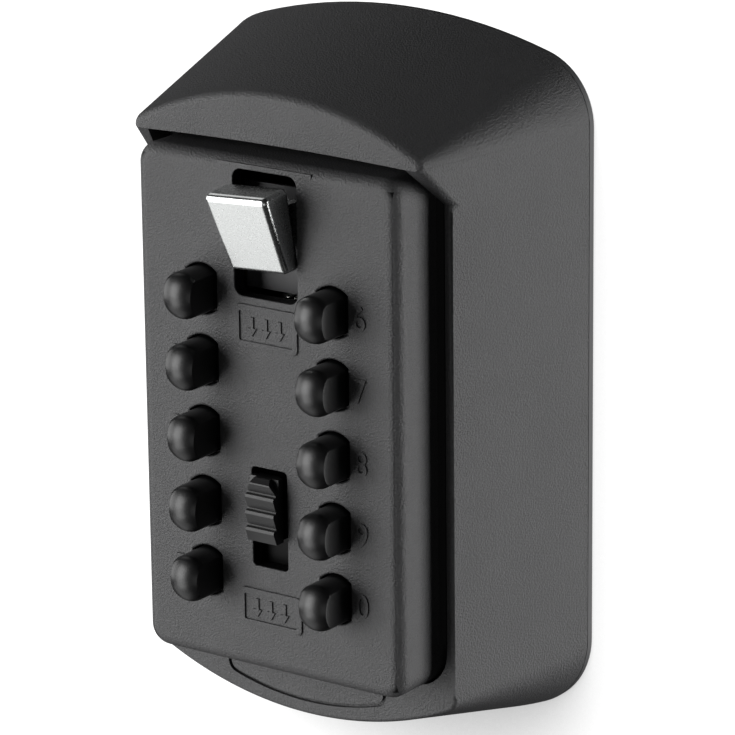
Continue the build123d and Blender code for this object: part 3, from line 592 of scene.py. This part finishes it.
def makeLabels():
    bm = bmesh.new()
    frameY, arrowY = doorFaceY - label["rise"], doorFaceY - label["arrowRise"]
    for place in label["frames"]:
        ring = bmesh.new()
        roundedLoop(ring, *place["outer"], label["outerCorner"], place["z"], frameY)
        roundedLoop(ring, *place["inner"], label["innerCorner"], place["z"], frameY)
        bmesh.ops.bridge_loops(ring, edges=ring.edges[:])
        castOnDoor(bm, ring, label["rise"])
        for i in (-1, 0, 1):
            arrow = bmesh.new()
            middleX = i * label["arrowPitch"]
            arrow.faces.new([arrow.verts.new((middleX + x, arrowY, place["z"] + z))
                             for x, z in label["arrow"]])
            castOnDoor(bm, arrow, label["arrowRise"])
    return bm


addPiece("doorLabels", makeLabels(), "door", "door_coat")
print("labels made")

# each column's side and its digits from the top down
keypad = {"columns": ((-1, "12345"), (1, "67890")), "rowPitch": 14.9}


def keypadPlaces(columnX, topRowZ):
    for side, column in keypad["columns"]:
        for row, digit in enumerate(column):
            yield digit, side * columnX, topRowZ - row * keypad["rowPitch"]


# push buttons: a round shank with two flats, a domed front and a flange behind the door;
# depths are measured back from the door's face
button = {
    "columnX": 16.0, "topRowZ": 25.3,
    "radius": 4.89, "halfFlat": 3.35,
    "straight": 5.75, "dome": 3.3, "shoulder": 2.3,
    "edge": 0.5, "edgeSegments": 4,
    "flangeRadius": 6.3, "flangeFrom": 3.3, "flangeTo": 4.8,
    "shankSink": 0.2,  # how deep the shank and the flange run into each other
    "flangeSink": 2.0,
    "boreRadius": 1.45, "boreFrom": -3.7,
    "steps": 64, "domeSteps": 12, "shoulderSteps": 8,
}


# turns a profile in the XY plane once round the Y axis
def turnRound(bm, steps):
    bmesh.ops.spin(bm, geom=bm.verts[:] + bm.edges[:], cent=(0, 0, 0), axis=(0, 1, 0), angle=2 * pi,
                   steps=steps, use_merge=True, use_duplicate=False)
    bmesh.ops.remove_doubles(bm, verts=bm.verts, dist=near)


# a dome that runs through a round shoulder into a straight shank
def makeShank():
    b = button
    across, rise = b["radius"] - b["shoulder"], b["dome"] - b["shoulder"]
    domeRadius = (across ** 2 + b["dome"] ** 2 - b["shoulder"] ** 2) / (2 * rise)
    turn = atan2(across, domeRadius - b["dome"])
    reach, foot = b["straight"] + b["dome"], b["flangeFrom"] + b["shankSink"]
    bm = bmesh.new()
    chain = [bm.verts.new((0, -reach, 0))]
    turnOn(bm, chain, (0, domeRadius - reach, 0), turn, b["domeSteps"], (0, 0, 1))
    turnOn(bm, chain, (across, -b["straight"], 0), pi / 2 - turn, b["shoulderSteps"], (0, 0, 1))
    lineTo(bm, chain, (b["radius"], foot, 0))
    lineTo(bm, chain, (0, foot, 0))
    turnRound(bm, b["steps"])
    return bm


def makeFlange():
    b = button
    bm = bmesh.new()
    chain = [bm.verts.new((b["boreRadius"], b["boreFrom"], 0))]
    for radius, y in ((b["boreRadius"], b["flangeTo"]), (b["flangeRadius"], b["flangeTo"]),
                      (b["flangeRadius"], b["flangeFrom"]),
                      (b["radius"] - b["flangeSink"], b["flangeFrom"])):
        lineTo(bm, chain, (radius, y, 0))
    turnRound(bm, b["steps"])
    return bm


def makeButton(x, z):
    b = button
    bm = makeShank()
    for side in (-1, 1):
        flat = side * b["halfFlat"]
        bmesh.ops.bisect_plane(bm, geom=allOf(bm), dist=near / 10, plane_co=(flat, 0, 0),
                               plane_no=(side, 0, 0), clear_outer=True)
        cut = [e for e in bm.edges if all(abs(v.co.x - flat) < near for v in e.verts)]
        bmesh.ops.contextual_create(bm, geom=cut)
    rim = [e for e in bm.edges if all(abs(abs(v.co.x) - b["halfFlat"]) < near
                                      and v.co.y < b["flangeFrom"] for v in e.verts)]
    bevelEdges(bm, rim, b["edge"], b["edgeSegments"])
    joinTo(bm, makeFlange())
    bmesh.ops.translate(bm, vec=(x, doorFaceY, z), verts=bm.verts)
    return bm


for digit, x, z in keypadPlaces(button["columnX"], button["topRowZ"]):
    piece = addPiece("pushButton" + digit, makeButton(x, z), "button_" + digit, "button_plastic",
                     "moulded")
    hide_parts("button_" + digit)
print("buttons made")

# raised digits beside the buttons
digits = {
    "height": 5.1,
    "width": 2.8,
    "columnX": 22.7,
    "topRowZ": 25.1,
    "rise": 0.3,
    "sink": 0.2,
    "swell": 0.003,  # how much bolder than the font, as a share of its size
    "curveSteps": 4,
}


# one digit of the plain font, lying flat, as a bmesh
def digitFromFont(digit):
    curve = bpy.data.curves.new("digit", "FONT")
    curve.body = digit
    curve.size = 1.0
    curve.offset = digits["swell"]
    curve.resolution_u = digits["curveSteps"]
    curve.extrude = (digits["rise"] + digits["sink"]) / 2
    text = bpy.data.objects.new("digit", curve)
    bpy.context.scene.collection.objects.link(text)
    shaped = text.evaluated_get(bpy.context.evaluated_depsgraph_get())
    mesh = bpy.data.meshes.new_from_object(shaped)
    bm = bmesh.new()
    bm.from_mesh(mesh)
    bpy.data.meshes.remove(mesh)
    bpy.data.objects.remove(text)
    bpy.data.curves.remove(curve)
    return bm


def makeDigits():
    bm = bmesh.new()
    y = doorFaceY + (digits["sink"] - digits["rise"]) / 2
    for digit, x, z in keypadPlaces(digits["columnX"], digits["topRowZ"]):
        one = digitFromFont(digit)
        low = [min(v.co[i] for v in one.verts) for i in (0, 1)]
        high = [max(v.co[i] for v in one.verts) for i in (0, 1)]
        grow = digits["height"] / (high[1] - low[1])
        wide = min(grow, digits["width"] / (high[0] - low[0]))
        bmesh.ops.translate(one, vec=(-(low[0] + high[0]) / 2, -(low[1] + high[1]) / 2, 0),
                            verts=one.verts)
        bmesh.ops.scale(one, vec=(wide, grow, 1), verts=one.verts)
        bmesh.ops.rotate(one, matrix=Matrix.Rotation(pi / 2, 3, "X"), verts=one.verts)
        bmesh.ops.translate(one, vec=(x, y, z), verts=one.verts)
        joinTo(bm, one)
    return bm


addPiece("doorDigits", makeDigits(), "door", "door_coat")
print("digits made")

# the studio, in metres
studio = {
    "white": "#ffffff",
    "floorSize": 8.0,
    "floorHeight": -0.25,
    "wallSize": 1.2,
    "wallBehind": 0.0003,  # a hair behind the box, so that the two don't flicker
    "wallBrightness": 1.3,
    "shadowReach": 0.026,
    "shadowFrom": (0.0, -0.35, 0.94),  # the way a point of the wall looks for what shades it
    "shadowSamples": 16,
    "worldBrightness": 0.01,  # as the box sees it
    # degrees to the right of straight in front, degrees up, distance, width, height, watts
    "softBoxes": {
        "keyHigh": (-38, 12, 1.6, 1.0, 1.0, 19.5),
        "keyLow": (-36, -20, 1.6, 1.0, 1.0, 11.5),
        "fromLeft": (-80, 0, 1.6, 1.0, 1.0, 7.5),
        "fromRight": (30, -6, 1.6, 1.0, 1.0, 2.0),
        "sideHigh": (118, 12, 1.6, 1.0, 1.0, 15.0),
        "sideLow": (120, -20, 1.6, 1.0, 1.0, 16.0),
        "fromAbove": (-110, 48, 1.6, 0.9, 0.9, 2.2),
        "tableBounce": (-57, -49, 0.6, 0.5, 0.4, 0.55),
    },
}


# a flat sheet that only the camera sees, so that all light on the box comes from the soft boxes
def addSheet(name, size, placed, material):
    bm = bmesh.new()
    bmesh.ops.create_grid(bm, x_segments=1, y_segments=1, size=size / 2)
    bmesh.ops.transform(bm, matrix=placed, verts=bm.verts)
    obj = meshObject(name, bm)
    obj.data.materials.append(material)
    obj.visible_shadow = False
    obj.visible_glossy = False
    obj.visible_diffuse = False


def makeFloor():
    material, tree = newMaterial("paleFloor")
    shader = addNode(tree, "ShaderNodeEmission",
                     {"Color": linear(studio["white"]), "Strength": 1.0})
    finishMaterial(material, tree, shader)
    placed = Matrix.Translation((0, 0, studio["floorHeight"]))
    addSheet("paleFloor", studio["floorSize"], placed, material)


# the pale wall the box hangs on, with a painted soft shadow under the box where the box hides it;
# it isn't seen from behind
def makeWall():
    material, tree = newMaterial("paleWall")
    up = addNode(tree, "ShaderNodeCombineXYZ", dict(zip("XYZ", studio["shadowFrom"])))
    # painted shadow: the wall glows less where the box is near it
    paintedContactShadow = addNode(tree, "ShaderNodeAmbientOcclusion",
                      {"samples": studio["shadowSamples"], "Distance": studio["shadowReach"]},
                      {"Normal": up.outputs[0]})
    strength = addNode(tree, "ShaderNodeMath",
                       {"operation": "MULTIPLY", 1: studio["wallBrightness"]},
                       {0: paintedContactShadow.outputs["AO"]})
    front = addNode(tree, "ShaderNodeEmission", {"Color": linear(studio["white"])},
                    {"Strength": strength.outputs[0]})
    back = addNode(tree, "ShaderNodeBsdfTransparent")
    side = addNode(tree, "ShaderNodeNewGeometry")
    shader = addNode(tree, "ShaderNodeMixShader", {},
                     {0: side.outputs["Backfacing"], 1: front.outputs[0], 2: back.outputs[0]})
    finishMaterial(material, tree, shader)
    placed = Matrix.Translation((0, studio["wallBehind"], 0)) @ Matrix.Rotation(pi / 2, 4, "X")
    addSheet("paleWall", studio["wallSize"], placed, material)


# the world is white to the camera and nearly dark to the box
def makeWorld():
    world = bpy.data.worlds.new("studioWorld")
    bpy.context.scene.world = world
    world.use_nodes = True
    tree = world.node_tree
    ray = addNode(tree, "ShaderNodeLightPath")
    strength = addNode(tree, "ShaderNodeMix",
                       {"data_type": "FLOAT", 2: studio["worldBrightness"], 3: 1.0},
                       {0: ray.outputs["Is Camera Ray"]})
    background = tree.nodes["Background"]
    background.inputs["Color"].default_value = linear(studio["white"])
    tree.links.new(strength.outputs[0], background.inputs["Strength"])


def makeSoftBox(name, turn, height, distance, width, tall, power):
    turn, height = radians(turn), radians(height)
    direction = Vector((sin(turn) * cos(height), -cos(turn) * cos(height), sin(height)))
    data = bpy.data.lights.new(name, "AREA")
    data.shape = "RECTANGLE"
    data.size = width
    data.size_y = tall
    data.energy = power
    obj = bpy.data.objects.new(name, data)
    facing = direction.to_track_quat("Z", "Y").to_matrix().to_4x4()
    obj.matrix_world = Matrix.Translation(direction * distance) @ facing
    obj.visible_camera = False
    bpy.context.scene.collection.objects.link(obj)


makeFloor()
makeWall()
makeWorld()
for name, place in studio["softBoxes"].items():
    makeSoftBox(name, *place)
bpy.context.scene.view_settings.view_transform = "Standard"
print("studio set")
